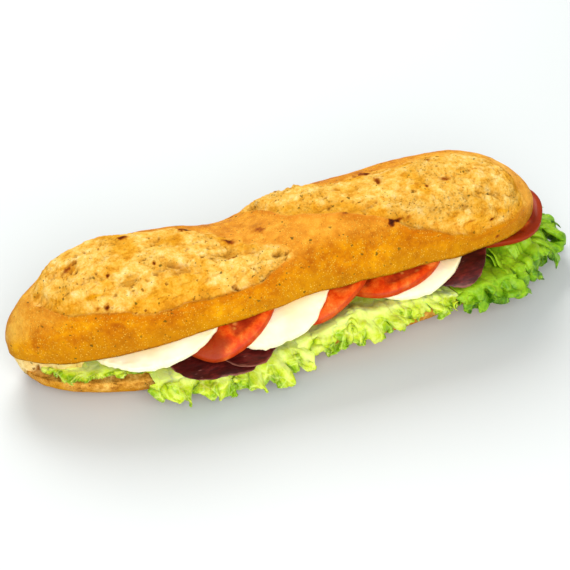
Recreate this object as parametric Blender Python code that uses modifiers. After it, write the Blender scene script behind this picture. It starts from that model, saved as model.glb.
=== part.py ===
"""A submarine sandwich: a slashed half baguette, cut right through and filled with
mozzarella, tomato, cured beef and lettuce, lying on its flat base.

Every form is worked out in millimetres: X runs along the loaf, -Y is the open front,
Z is up, and the origin is the middle of the flat base. The meshes are turned into
metres as they are made.
"""
import bmesh
import bpy
import numpy as np

MM = 0.001

# Top half: where it ends, and its outline along X as (x, value) stations.
TOP_LEFT, TOP_RIGHT = -136.5, 134.5
TOP_FRONT = [(-138, 34), (-100, 36.5), (-40, 38), (0, 37.5), (60, 37), (110, 37), (134, 35)]
TOP_BACK = [(-138, 34), (-100, 36.5), (-60, 34), (-28, 30.5), (-5, 33.5), (50, 36), (100, 38.5), (134, 40)]
CROWN = [(-138, 58), (-118, 64), (-85, 66), (-50, 62.5), (-22, 58), (5, 65),
         (50, 68.5), (90, 71.5), (120, 70), (134, 66)]
FRONT_RIM = [(-138, 21.5), (-110, 25.2), (-70, 32.5), (-30, 39), (5, 43), (40, 43),
             (80, 42.5), (110, 40), (134, 38)]
BACK_RIM = [(-138, 21), (-90, 25), (0, 30), (60, 32), (110, 33), (134, 33)]
TOP_NOSE_FRONT, TOP_NOSE_BACK = (2.7, 3.6), (2.7, 4.6)
TOP_ROUNDNESS = 2.5
# How far round the arch the crust goes before the knife cut, how high the cut face
# arches, and the crust's length round the arch.
BACK_CUT = 0.90
CUT_ARCH, CUT_ARCH_BLUNT = 2.0, 0.7
CRUST_GIRTH = 105.0
# How the fullness of the nose lowers the crown and brings the two rims together.
CROWN_FALL, RIM_FALL = 0.85, 0.3
# The slash swells the loaf about its middle: this far out sideways and up per unit.
HALF_WIDTH, HALF_RISE = 45.0, 30.0
TOP_GRID = {"rings": 110, "crust_steps": 76, "cut_steps": 16}
TOP_KEPT = 0.14

# Bottom half.
BOTTOM_LEFT, BOTTOM_RIGHT = -132.0, 133.0
BOTTOM_FRONT = [(-132, 40), (-100, 41), (110, 41), (133, 40)]
BOTTOM_BACK = [(-132, 34), (-100, 36), (0, 36), (60, 37), (133, 36)]
CUT_HEIGHT = [(-132, 14), (-110, 15.5), (-60, 16), (0, 17), (60, 19), (110, 20), (133, 18)]
BOTTOM_NOSE = (3.4, 3.2)
BOTTOM_ROUNDNESS = 2.6
BOTTOM_FALL = 0.7
BASE_FLAT = 2.0
BOTTOM_GRID = {"rings": 34, "crust_steps": 26, "cut_steps": 4}

# The two slashes on the crust: (x, front edge, back edge), across the crust from
# 0 at the front rim over 0.5 at the crown to 1 at the back.
LEFT_SLASH = [(-123, .48, .54), (-112, .29, .70), (-96, .21, .71), (-83, .17, .69),
              (-66, .15, .63), (-45, .15, .57), (-30, .17, .49), (-14, .21, .40), (-2, .25, .27)]
RIGHT_SLASH = [(-13, .70, .75), (-3, .53, .73), (12, .43, .69), (26, .38, .60), (41, .31, .58),
               (56, .20, .57), (70, .13, .57), (88, .08, .58), (104, .08, .57),
               (114, .11, .47), (122, .16, .22)]
# The swell's height and, in millimetres inside the front and the back edge, where it
# starts and is full; the ear's height and the valley's depth, with their places.
SLASH_SWELL = 3.0
SWELL_FRONT, SWELL_BACK = (1, 12), (-2, 8)
EAR_HEIGHT, EAR_AT = 1.4, -0.8
EAR_VALLEY, VALLEY_AT = 0.9, 3.6
EAR_WIDTH = 3.0
# A slash fades out from 9 mm before its last station to 3 mm past it, and on the noses
# where the loaf's fullness is low.
END_FADE = (-3, 9)
NOSE_FADE = (0.1, 0.6)

# The layers. CLIMB is how far a slice has risen above the cut face by X; each slice
# takes its share off, so that neighbours lie a constant distance apart.
CLIMB = [(-130, 0), (-90, 6), (-60, 11.5), (-20, 20.5), (20, 30.5), (60, 39), (90, 44),
         (120, 47.5), (150, 49.5)]
DROOP_START, DROOP_SLOPE, DROOP_ROUND = -37.0, 0.75, 2.0

# name: centre x, centre y, half length, half depth, lowest x, height there above the
# cut face, thickness, outline power, lobes
SLICES = {
    "mozzarella_left": (-67.0, -4.0, 35.0, 36.5, -98.0, 4.6, 4.2, 2.4, 0.0),
    "tomato_left": (-39.0, -5.0, 31.0, 40.5, -68.0, 5.6, 4.2, 2.0, 0.02),
    "mozzarella_middle": (-13.0, -4.0, 33.0, 41.5, -42.5, 5.8, 4.4, 2.3, 0.0),
    "tomato_middle": (11.0, -4.0, 29.0, 38.0, -19.0, 5.6, 4.2, 2.0, 0.02),
    "tomato_right": (50.0, -3.0, 31.5, 35.5, 12.0, 4.6, 4.2, 2.1, 0.02),
    "mozzarella_right": (60.0, -4.0, 31.0, 36.8, 33.0, 4.9, 4.2, 2.2, 0.0),
    "cured_beef_right": (77.5, -5.0, 25.0, 38.0, 40.5, 5.1, 1.1, 2.0, 0.03),
    "tomato_end": (114.0, 1.0, 26.5, 27.5, 79.0, 7.5, 4.2, 2.0, 0.02),
    "cured_beef_upper": (-27.0, -6.0, 27.0, 43.5, 0.0, 4.4, 0.9, 2.0, 0.03),
    "cured_beef_lower": (-43.0, -6.0, 31.0, 46.0, 0.0, 3.1, 0.9, 2.0, 0.03),
}
FLAT_SLICES = ("cured_beef_upper", "cured_beef_lower")
FLAT_DROOP = 0.25
SLICE_SIDES, SLICE_RINGS = 24, 7
SLICE_EDGE = 0.34
LOBE_COUNTS = (5, 3)

# The leaves. Each is a sheet from its spine, over its lip at the bread's edge, out to
# its ruffled margin. Lip and margin are (x, y, z) stations along the leaf, where a lip's
# z is a height above the cut face; the spine is (x, y) stations at the given level.
LEAVES = {
    "lettuce_left": {
        "folds": 2, "level": 1.2, "waves": 5, "ruffle": 0.8,
        "spine": [(-108, 27), (-94, 35), (-80, 38)],
        "lip": [(-117, -12, 1.6), (-108, -22, 1.8), (-98, -25, 1.8), (-77, -31, 1.6)],
        "margin": [(-121, -17, 17.3), (-113, -28.5, 16), (-101, -31, 17.6), (-78, -35, 18.4)]},
    "lettuce_front": {
        "folds": 4, "level": 1.2, "waves": 7, "ruffle": 2.6,
        "spine": [(-70, 39), (-40, 40), (-8, 39)],
        "lip": [(-72, -42, 1.2), (-50, -42.5, 1.2), (-28, -42.5, 1.2), (-8, -42, 1.2)],
        "margin": [(-75, -45, 12), (-60, -52, 9), (-40, -53, 9), (-22, -55, 9), (-6, -50, 11)]},
    "lettuce_middle": {
        "folds": 4, "level": 1.2, "waves": 7, "ruffle": 2.6,
        "spine": [(2, 39), (35, 40), (68, 39)],
        "lip": [(-2, -42, 1.4), (14, -41, 6), (25, -39, 10), (34, -41, 8), (46, -41, 7.5), (60, -41, 6.5),
                (74, -41.5, 5)],
        "margin": [(-3, -47, 11), (18, -48, 14), (42, -48, 17), (58, -47.5, 18), (75, -45.5, 18)]},
    "lettuce_right": {
        "folds": 2, "level": 1.2, "waves": 4, "ruffle": 1.7,
        "spine": [(74, 39), (92, 39)],
        "lip": [(79, -42, 5), (90, -41.5, 6), (100, -40, 6)],
        "margin": [(80, -46, 17), (92, -46, 15), (104, -44.5, 14)]},
    "lettuce_end": {
        "folds": 5, "level": 1.2, "waves": 10, "ruffle": 3.2,
        "spine": [(98, 10), (100, 14), (103, 18), (106, 24)],
        "lip": [(106, -38, 5), (122, -31, 5.5), (133, -16, 6), (136.5, 4, 6.5), (132, 24, 5)],
        "margin": [(107, -41, 12), (124, -34, 10), (142, -22, 10), (155, 1, 11), (149, 26, 13)]},
}
LEAF_STEPS = {"lettuce_left": 16, "lettuce_front": 36, "lettuce_middle": 36, "lettuce_right": 16,
              "lettuce_end": 50}
LEAF_THICK = 0.8
LEAF_ROWS = [0, 0.08, 0.25, 0.42, 0.5, 0.6, 0.7, 0.8, 0.9, 1]
LIP_AT = 0.5
# Room left over the folds, under the bread's rim and under the slices; a slice counts
# as overhead up to the first of two shares of its size, and not at all past the second.
LEAF_CLEAR, RIM_CLEAR = 1.3, 1.5
OVERHEAD, OUT_OF_REACH = (1.25, 2.2), 30
# Shares of the way from spine to lip: folds rise, sink, and the sheet bends to the lip.
FOLD_RISE, FOLD_SINK, LIP_BEND = (0, 0.16), (-1, -0.84), (0.8, 1)
MARGIN_CURVE = 1.4
# The ruffle's waves: how unevenly they follow each other, their sideways slide and
# their lift, which runs a little ahead of their swing.
WAVE_START, WAVE_DRIFT, DRIFT_PACE = 0.15, 0.11, 9
WAVE_SLIDE, WAVE_LIFT, LIFT_AHEAD = 0.45, 0.75, 1.2

# Base colour as shown on a screen, and roughness, for each material
LOOKS = {
    "crust": ((0.87, 0.56, 0.16), 0.55),
    "mozzarella": ((0.98, 0.95, 0.86), 0.35),
    "tomato": ((0.80, 0.22, 0.10), 0.30),
    "cured_beef": ((0.36, 0.08, 0.07), 0.45),
    "lettuce": ((0.60, 0.72, 0.16), 0.45),
}
SCREEN_GAMMA = 2.2


def along(x, stations):
    """A smooth curve through (x, value) stations: cubic pieces whose slopes at the
    stations are the mean slopes round them."""
    at, value = np.array(stations, float).T
    slope = np.gradient(value, at)
    piece = np.clip(np.searchsorted(at, x) - 1, 0, len(at) - 2)
    step = at[piece + 1] - at[piece]
    t = np.clip((x - at[piece]) / step, 0, 1)
    return ((1 + 2 * t) * (1 - t) ** 2 * value[piece] + t * (1 - t) ** 2 * step * slope[piece]
            + t * t * (3 - 2 * t) * value[piece + 1] + t * t * (t - 1) * step * slope[piece + 1])


def ramp(value, start, end):
    """0 before start, 1 after end, smooth between."""
    t = np.clip((value - start) / (end - start), 0, 1)
    return t * t * (3 - 2 * t)


def nose(x, left, right, powers, blunt=2.2):
    """How full the loaf is at x: 1 along most of it, rounding off to 0 at both ends."""
    power = np.where(x < 0, powers[0], powers[1])
    reach = np.where(x < 0, -left, right)
    return np.clip(1 - (np.abs(x) / reach) ** power, 0, 1) ** (1 / blunt)


def slash_relief(x, g):
    """Height of a slash above the plain crust at (x, g): the torn crumb swells inside
    the outline, and the ear stands up along its front edge with a valley behind it."""
    height = np.zeros_like(x)
    for stations in (LEFT_SLASH, RIGHT_SLASH):
        front = along(x, [(s[0], s[1]) for s in stations])
        back = along(x, [(s[0], s[2]) for s in stations])
        first, last = stations[0][0], stations[-1][0]
        inside = (g - front) * CRUST_GIRTH
        behind = (back - g) * CRUST_GIRTH
        ends = ramp(x - first, *END_FADE) * ramp(last - x, *END_FADE)
        swell = ramp(inside, *SWELL_FRONT) * ramp(behind, *SWELL_BACK) * SLASH_SWELL
        ear = np.exp(-((inside - EAR_AT) / EAR_WIDTH) ** 2) * EAR_HEIGHT
        valley = np.exp(-((inside - VALLEY_AT) / EAR_WIDTH) ** 2) * EAR_VALLEY
        height += (swell + ear - valley) * ends
    return height


def top_crust(s, g):
    """The top half's crust. s runs -1..1 along the loaf, g 0..1 from the front rim over
    the crown to the back: a superellipse arch on a base line that joins the two rims."""
    x = np.where(s < 0, -s * TOP_LEFT, s * TOP_RIGHT)
    turn = np.pi * g
    out = np.sign(np.cos(turn)) * np.abs(np.cos(turn)) ** (2 / TOP_ROUNDNESS)
    rise = np.abs(np.sin(turn)) ** (2 / TOP_ROUNDNESS)
    full = (nose(x, TOP_LEFT, TOP_RIGHT, TOP_NOSE_FRONT) * (1 + out)
            + nose(x, TOP_LEFT, TOP_RIGHT, TOP_NOSE_BACK) * (1 - out)) / 2
    front, back = along(x, FRONT_RIM), along(x, BACK_RIM)
    half = np.where(out > 0, along(x, TOP_FRONT), along(x, TOP_BACK))
    relief = slash_relief(x, g) * ramp(full, *NOSE_FADE)
    y = -half * out * full * (1 + relief / HALF_WIDTH)
    base = (front + back) / 2 + (front - back) / 2 * out * full ** RIM_FALL
    arch = (along(x, CROWN) - (front + back) / 2) * rise * full ** CROWN_FALL
    z = base + arch * (1 + relief / HALF_RISE)
    return np.stack([x, y, z], -1)


def top_cut(s, t):
    """The top half's cut face, from the back (t 0) to the front rim (t 1), a low arch."""
    back, front = top_crust(s, np.full_like(s, BACK_CUT)), top_crust(s, np.zeros_like(s))
    point = back + (front - back) * t[:, None]
    full = nose(point[:, 0], TOP_LEFT, TOP_RIGHT, TOP_NOSE_FRONT)
    point[:, 2] += CUT_ARCH * np.sin(np.pi * t) ** CUT_ARCH_BLUNT * full
    return point


def bottom_crust(s, g):
    """The bottom half's crust, g 0..1 from the front cut edge under the loaf to the back."""
    x = np.where(s < 0, -s * BOTTOM_LEFT, s * BOTTOM_RIGHT)
    full = nose(x, BOTTOM_LEFT, BOTTOM_RIGHT, BOTTOM_NOSE)
    turn = np.pi * g
    out = np.sign(np.cos(turn)) * np.abs(np.cos(turn)) ** (2 / BOTTOM_ROUNDNESS)
    drop = np.abs(np.sin(turn)) ** (2 / BOTTOM_ROUNDNESS)
    half = np.where(out > 0, along(x, BOTTOM_FRONT), along(x, BOTTOM_BACK))
    cut = along(x, CUT_HEIGHT)
    z = np.maximum(cut - (cut + BASE_FLAT) * drop * full ** BOTTOM_FALL, 0)
    return np.stack([x, -half * out * full, z], -1)


def bottom_cut(s, t):
    """The bottom half's cut face, from the back (t 0) to the front (t 1), nearly flat."""
    back, front = bottom_crust(s, np.ones_like(s)), bottom_crust(s, np.zeros_like(s))
    return back + (front - back) * t[:, None]


def loaf_half(crust, cut, crust_end, rings, crust_steps, cut_steps):
    """A sphere with its poles on X, remapped: crust_steps of its longitudes become the
    crust from the front rim round to the back, and the rest become the cut face."""
    mesh = bmesh.new()
    bmesh.ops.create_uvsphere(mesh, u_segments=crust_steps + cut_steps, v_segments=rings, radius=1)
    co = np.array([v.co for v in mesh.verts])
    s = co[:, 2]
    turn = np.arctan2(co[:, 1], co[:, 0]) / (2 * np.pi) % 1 * (crust_steps + cut_steps)
    on_crust = np.round(turn, 4) <= crust_steps
    g = np.clip(turn / crust_steps, 0, 1) * crust_end
    t = np.clip((turn - crust_steps) / cut_steps, 0, 1)
    point = np.where(on_crust[:, None], crust(s, g), cut(s, t))
    move(mesh, point)
    return mesh


def move(mesh, point):
    """Put a bmesh's vertices at points in millimetres, and turn its faces outwards."""
    for vertex, place in zip(mesh.verts, point * MM):
        vertex.co = place
    bmesh.ops.recalc_face_normals(mesh, faces=mesh.faces)
    if mesh.calc_volume(signed=True) < 0:
        bmesh.ops.reverse_faces(mesh, faces=mesh.faces)


def droop(y):
    """How far a slice hangs down by y, past the front edge of the bread."""
    past = (DROOP_START - y) / DROOP_ROUND
    return -DROOP_SLOPE * DROOP_ROUND * np.logaddexp(0, past)


def slice_level(name, x, y):
    """Height of a slice's underside at (x, y)."""
    _, _, _, _, low, height, _, _, _ = SLICES[name]
    climb = 0 if name in FLAT_SLICES else along(x, CLIMB) - along(np.array(low), CLIMB)
    return along(x, CUT_HEIGHT) + height + climb + droop(y) * (FLAT_DROOP if name in FLAT_SLICES else 1)


def food_slice(name):
    """A sphere flattened into a slice with a rounded edge, a little lobed in outline,
    and laid along the surface that it rests on."""
    cx, cy, length, depth, _, _, thick, power, lobes = SLICES[name]
    mesh = bmesh.new()
    bmesh.ops.create_uvsphere(mesh, u_segments=SLICE_SIDES, v_segments=SLICE_RINGS, radius=1)
    co = np.array([v.co for v in mesh.verts])
    angle = np.arctan2(co[:, 1], co[:, 0])
    radius = np.clip(np.hypot(co[:, 0], co[:, 1]), 0, 1) ** SLICE_EDGE
    radius = np.where(np.round(np.abs(co[:, 2]), 4) == 1, 0, radius)
    radius *= 1 + sum(lobes * np.sin(count * angle + k * cx) for k, count in enumerate(LOBE_COUNTS, 1))
    reach = (np.abs(np.cos(angle)) ** power + np.abs(np.sin(angle)) ** power) ** (-1 / power)
    x = cx + length * radius * reach * np.cos(angle)
    y = cy + depth * radius * reach * np.sin(angle)
    height = np.sign(co[:, 2]) * np.abs(co[:, 2]) ** SLICE_EDGE
    z = slice_level(name, x, y) + thick * (height + 1) / 2
    move(mesh, np.stack([x, y, z], -1))
    return mesh


def headroom(x, y):
    """The height of the lowest thing over (x, y): a slice where one lies, or the bread."""
    lowest = along(x, FRONT_RIM) - RIM_CLEAR
    for name, (cx, cy, length, depth, _, _, _, power, _) in SLICES.items():
        reach = (np.abs((x - cx) / length) ** power + np.abs((y - cy) / depth) ** power) ** (1 / power)
        lowest = np.minimum(lowest, slice_level(name, x, y) + OUT_OF_REACH * ramp(reach, *OVERHEAD))
    return lowest


def leaf(name):
    """A grid bent into a leaf: u runs along its margin, v from its spine (0) over its lip
    (LIP_AT) to its margin (1). Inside, folds fill the room under the slices; beyond the
    lip the sheet swings out, up and sideways in waves that grow towards the margin."""
    shape = LEAVES[name]
    steps = LEAF_STEPS[name]
    mesh = bmesh.new()
    bmesh.ops.create_grid(mesh, x_segments=steps, y_segments=len(LEAF_ROWS) - 1, size=0.5)
    co = np.array([v.co for v in mesh.verts])
    u, row = co[:, 0] + 0.5, np.rint((co[:, 1] + 0.5) * (len(LEAF_ROWS) - 1)).astype(int)
    v = np.array(LEAF_ROWS)[row]
    curve = {key: stations_curve(shape[key], u) for key in ("spine", "lip", "margin")}
    inner = np.clip(v / LIP_AT, 0, 1)
    outer = np.clip((v - LIP_AT) / (1 - LIP_AT), 0, 1)
    plan = [curve["spine"][k] * (1 - inner) + curve["lip"][k] * inner
            + (curve["margin"][k] - curve["lip"][k]) * outer for k in (0, 1)]
    lip_z = along(curve["lip"][0], CUT_HEIGHT) + curve["lip"][2]
    flat_z = along(plan[0], CUT_HEIGHT) + shape["level"]
    room = np.clip(headroom(*plan) - flat_z - LEAF_CLEAR, 0, None)
    folds = 0.5 - 0.5 * np.cos(2 * np.pi * shape["folds"] * u)
    z = flat_z + room * folds * ramp(inner, *FOLD_RISE) * ramp(-inner, *FOLD_SINK)
    z = z + (lip_z - z) * ramp(inner, *LIP_BEND)
    z = z + (curve["margin"][2] - z) * outer ** MARGIN_CURVE
    away = np.stack([curve["margin"][k] - curve["lip"][k] for k in (0, 1)])
    away /= np.hypot(*away)
    turn = 2 * np.pi * (shape["waves"] * u + WAVE_DRIFT * np.sin(DRIFT_PACE * u) + WAVE_START)
    size = shape["ruffle"] * ramp(outer, 0, 1)
    swing = size * np.sin(turn)
    slide = -WAVE_SLIDE * size * np.sin(2 * turn)
    x = plan[0] + away[0] * swing - away[1] * slide
    y = plan[1] + away[1] * swing + away[0] * slide
    z = z + WAVE_LIFT * size * np.sin(turn + LIFT_AHEAD)
    move(mesh, np.stack([x, y, z], -1))
    bmesh.ops.triangulate(mesh, faces=mesh.faces)
    return mesh


def stations_curve(stations, u):
    """The curve through a leaf's stations, spaced evenly over u from 0 to 1."""
    even = np.linspace(0, 1, len(stations))
    return [along(u, list(zip(even, column))) for column in zip(*stations)]


def material(name):
    made = bpy.data.materials.new(name)
    made.use_nodes = True
    shader = made.node_tree.nodes["Principled BSDF"]
    colour, roughness = LOOKS[name]
    shader.inputs["Base Color"].default_value = (*[c ** SCREEN_GAMMA for c in colour], 1)
    shader.inputs["Roughness"].default_value = roughness
    return made


def add_object(name, mesh, look, collection):
    """Turn a bmesh into a smooth-shaded object with its material."""
    data = bpy.data.meshes.new(name)
    mesh.to_mesh(data)
    mesh.free()
    data.shade_smooth()
    data.materials.append(bpy.data.materials.get(look) or material(look))
    thing = bpy.data.objects.new(name, data)
    collection.objects.link(thing)
    return thing


def main():
    for old in list(bpy.data.objects):
        bpy.data.objects.remove(old)
    group = bpy.data.collections.new("submarine_sandwich")
    bpy.context.scene.collection.children.link(group)

    top = loaf_half(top_crust, top_cut, BACK_CUT, **TOP_GRID)
    fewer = add_object("bread_top", top, "crust", group).modifiers.new("fewer faces", "DECIMATE")
    fewer.ratio = TOP_KEPT
    add_object("bread_bottom", loaf_half(bottom_crust, bottom_cut, 1, **BOTTOM_GRID), "crust", group)
    for name in SLICES:
        add_object(name, food_slice(name), name.rsplit("_", 1)[0], group)
    for name in LEAVES:
        thick = add_object(name, leaf(name), "lettuce", group).modifiers.new("thickness", "SOLIDIFY")
        thick.thickness = LEAF_THICK * MM
        thick.offset = 0


main()
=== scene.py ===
import itertools
import math
from collections import namedtuple

import bpy
import numpy as np
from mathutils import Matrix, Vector


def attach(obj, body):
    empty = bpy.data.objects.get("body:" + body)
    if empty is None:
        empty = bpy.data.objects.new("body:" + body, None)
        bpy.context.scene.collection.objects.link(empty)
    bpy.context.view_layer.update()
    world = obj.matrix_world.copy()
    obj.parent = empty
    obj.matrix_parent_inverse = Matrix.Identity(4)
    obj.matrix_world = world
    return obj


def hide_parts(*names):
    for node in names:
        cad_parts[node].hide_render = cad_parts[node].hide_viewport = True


# The looks of a submarine sandwich: a slashed, filled half baguette on a pale floor.
# Forms are worked out in millimetres: X runs along the loaf, -Y is its open front and Z
# is up. MM turns them into metres as each mesh is made.
MM = 0.001

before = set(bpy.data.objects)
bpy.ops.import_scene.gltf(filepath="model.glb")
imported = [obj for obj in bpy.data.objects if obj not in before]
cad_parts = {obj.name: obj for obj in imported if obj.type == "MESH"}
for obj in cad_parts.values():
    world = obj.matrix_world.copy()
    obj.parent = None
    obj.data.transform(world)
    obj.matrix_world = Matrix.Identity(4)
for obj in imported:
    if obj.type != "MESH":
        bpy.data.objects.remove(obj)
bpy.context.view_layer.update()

# The loaf's own sizes, the same as the solids have: stations are (x, value) along it. The
# powers of a nose, left and right, make an end blunter, and a roundness makes the section
# squarer. The way round the crust, from the front rim (0) to the back (1), is CRUST_GIRTH
# long, and the top crust ends at BACK_CUT. CUT_ARCH is the rise of the top's cut face,
# BASE_FLAT how far a round section would reach below the floor, and HALF_WIDTH and
# HALF_RISE turn relief into a share of the section's size.
TOP_LEFT, TOP_RIGHT = -136.5, 134.5
TOP_FRONT = [(-138, 34), (-100, 36.5), (-40, 38), (0, 37.5), (60, 37), (110, 37), (134, 35)]
TOP_BACK = [(-138, 34), (-100, 36.5), (-60, 34), (-28, 30.5), (-5, 33.5), (50, 36),
            (100, 38.5), (134, 40)]
CROWN = [(-138, 58), (-118, 64), (-85, 66), (-50, 62.5), (-22, 58), (5, 65),
         (50, 68.5), (90, 71.5), (120, 70), (134, 66)]
FRONT_RIM = [(-138, 21.5), (-110, 25.2), (-70, 32.5), (-30, 39), (5, 43), (40, 43),
             (80, 42.5), (110, 40), (134, 38)]
BACK_RIM = [(-138, 21), (-90, 25), (0, 30), (60, 32), (110, 33), (134, 33)]
TOP_NOSE_FRONT, TOP_NOSE_BACK = (2.7, 3.6), (2.7, 4.6)
TOP_ROUNDNESS = 2.5
NOSE_FULLNESS = 2.2
BACK_CUT = 0.90
CUT_ARCH = 2.0
CRUST_GIRTH = 105.0
HALF_WIDTH, HALF_RISE = 45.0, 30.0
BOTTOM_LEFT, BOTTOM_RIGHT = -132.0, 133.0
BOTTOM_FRONT = [(-132, 40), (-100, 41), (110, 41), (133, 40)]
BOTTOM_BACK = [(-132, 34), (-100, 36), (0, 36), (60, 37), (133, 36)]
CUT_HEIGHT = [(-132, 14), (-110, 15.5), (-60, 16), (0, 17), (60, 19), (110, 20), (133, 18)]
BOTTOM_NOSE = (3.4, 3.2)
BOTTOM_ROUNDNESS = 2.6
BASE_FLAT = 2.0

# Each half's grid: rings along the loaf, places round the crust, places over the cut face.
TOP_GRID, BOTTOM_GRID = (500, 142, 44), (400, 80, 44)

# Slashes: (x, front edge, back edge), across the crust from 0 at the front rim to 1.
LEFT_SLASH = [(-123, .48, .54), (-112, .29, .70), (-96, .21, .71), (-83, .17, .69),
              (-66, .15, .63), (-45, .15, .57), (-30, .17, .49), (-14, .21, .40), (-2, .25, .27)]
RIGHT_SLASH = [(-13, .70, .75), (-3, .53, .73), (12, .43, .69), (26, .38, .60), (41, .31, .58),
               (56, .20, .57), (70, .13, .57), (88, .08, .58), (104, .08, .57),
               (114, .11, .47), (122, .16, .22)]
SLASH_SWELL = 3.0
EAR_HEIGHT, EAR_WIDTH, EAR_VALLEY = 1.4, 3.0, 0.9

# Scorched blisters on the crust: x, place across the crust, length, width, how dark.
SCORCHES = [
    (-44, .555, 6.5, 3.0, 1.0), (-75, .550, 3.0, 1.8, .9), (-12, .480, 5.0, 4.0, .55),
    (47, .268, 9.0, 3.0, .95), (48, .590, 5.0, 3.0, .9), (-103, .512, 5.0, 3.4, .6),
    (-110, .520, 3.0, 2.4, .4), (-92, .238, 1.9, 1.8, 1.0), (-96, .249, 1.6, 1.4, .5),
    (-67, .388, 1.3, 1.3, .9), (-88, .391, 1.6, 1.4, .7), (50, .498, 2.2, 1.8, .7),
    (65, .422, 2.4, 2.0, .35), (79, .532, 2.4, 1.6, .7), (80, .427, 5.5, 1.4, .5),
    (98, .442, 3.2, 1.6, .65), (87, .144, 2.6, 1.4, .5), (26, .379, 4.5, 2.6, .5),
    (-28, .469, 4.0, 2.0, .8), (-30, .372, 3.0, 1.6, .7), (-57, .344, 7.0, 3.0, .22),
    (-21, .386, 4.0, 3.0, .3), (118, .620, 3.5, 2.2, .6), (-62, .760, 4.0, 2.6, .6),
    (20, .800, 5.0, 2.4, .5), (92, .740, 3.4, 2.2, .6), (-18, .690, 3.0, 2.0, .5),
    (69, .400, 1.6, 1.4, .7), (98, .135, 2.0, 1.3, .8), (101, .030, 2.2, 1.4, .8),
    (116, .400, 2.4, 1.5, .65),
]

# Hollows torn in the slashes' crumb: x, place across the crust, half length, half width, depth, and how
# golden their thin skin is, from spongy with painted brown shade (0) to smooth gold (1).
HOLLOWS = [
    (-57.5, .498, 10, 3.0, 1.0, .9), (-32.6, .397, 10, 4.5, 1.6, .4),
    (-7.0, .290, 6, 2.4, 1.6, .2), (-95.8, .400, 4.5, 1.7, 0.9, .3),
    (-55.1, .343, 14, 4.5, 1.3, .4), (-82.8, .321, 6.5, 3.5, 0.9, .4),
    (-96.4, .296, 8, 1.8, 0.5, 1.0), (-102.8, .514, 5, 3.0, 0.8, .8),
    (-21.0, .453, 9, 2.5, 1.0, 1.0), (31.0, .509, 11, 2.4, 1.4, .8),
    (75.9, .247, 20, 8.0, 0.5, .2), (81.5, .420, 5, 2.0, 0.9, .5),
    (104.9, .170, 6.5, 4.0, 1.1, 1.0), (40.8, .370, 4, 3.0, 0.9, .5),
    (76.8, .184, 9, 3.0, 0.8, .9), (11.5, .509, 6, 2.5, 0.8, .5), (96.2, .290, 8, 4.0, 0.8, .4),
]

# How high the shingled slices climb on each other, along x, and how they hang down in front.
CLIMB = [(-130, 0), (-90, 6), (-60, 11.5), (-20, 20.5), (20, 30.5), (60, 39), (90, 44),
         (120, 47.5), (150, 49.5)]
DROOP_START, DROOP_SLOPE, DROOP_ROUND = -37.0, 0.75, 2.0

# Slices: centre, half length, half depth, x where it lies lowest, height there above the
# cut face, thickness, the power of its superellipse outline, and how lobed that is.
Slice = namedtuple("Slice", "x y length depth low height thick power lobes")
SLICES = {
    "mozzarella_left": Slice(-67.0, -4.0, 35.0, 36.5, -98.0, 4.6, 4.2, 2.4, 0.0),
    "tomato_left": Slice(-39.0, -5.0, 31.0, 40.5, -68.0, 5.6, 4.2, 2.0, 0.02),
    "mozzarella_middle": Slice(-13.0, -4.0, 33.0, 41.5, -42.5, 5.8, 4.4, 2.3, 0.0),
    "tomato_middle": Slice(11.0, -4.0, 29.0, 38.0, -19.0, 5.6, 4.2, 2.0, 0.02),
    "tomato_right": Slice(50.0, -3.0, 31.5, 35.5, 12.0, 4.6, 4.2, 2.1, 0.02),
    "mozzarella_right": Slice(60.0, -4.0, 31.0, 36.8, 33.0, 4.9, 4.2, 2.2, 0.0),
    "cured_beef_right": Slice(77.5, -5.0, 25.0, 38.0, 40.5, 5.1, 1.1, 2.0, 0.03),
    "tomato_end": Slice(114.0, 1.0, 26.5, 27.5, 79.0, 7.5, 4.2, 2.0, 0.02),
    "cured_beef_upper": Slice(-27.0, -6.0, 27.0, 43.5, 0.0, 4.4, 0.9, 2.0, 0.03),
    "cured_beef_lower": Slice(-43.0, -6.0, 31.0, 46.0, 0.0, 3.1, 0.9, 2.0, 0.03),
}
FLAT_SLICES = ("cured_beef_upper", "cured_beef_lower")
FLAT_DROOP = 0.25
SLICE_EDGE = 0.34

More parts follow.
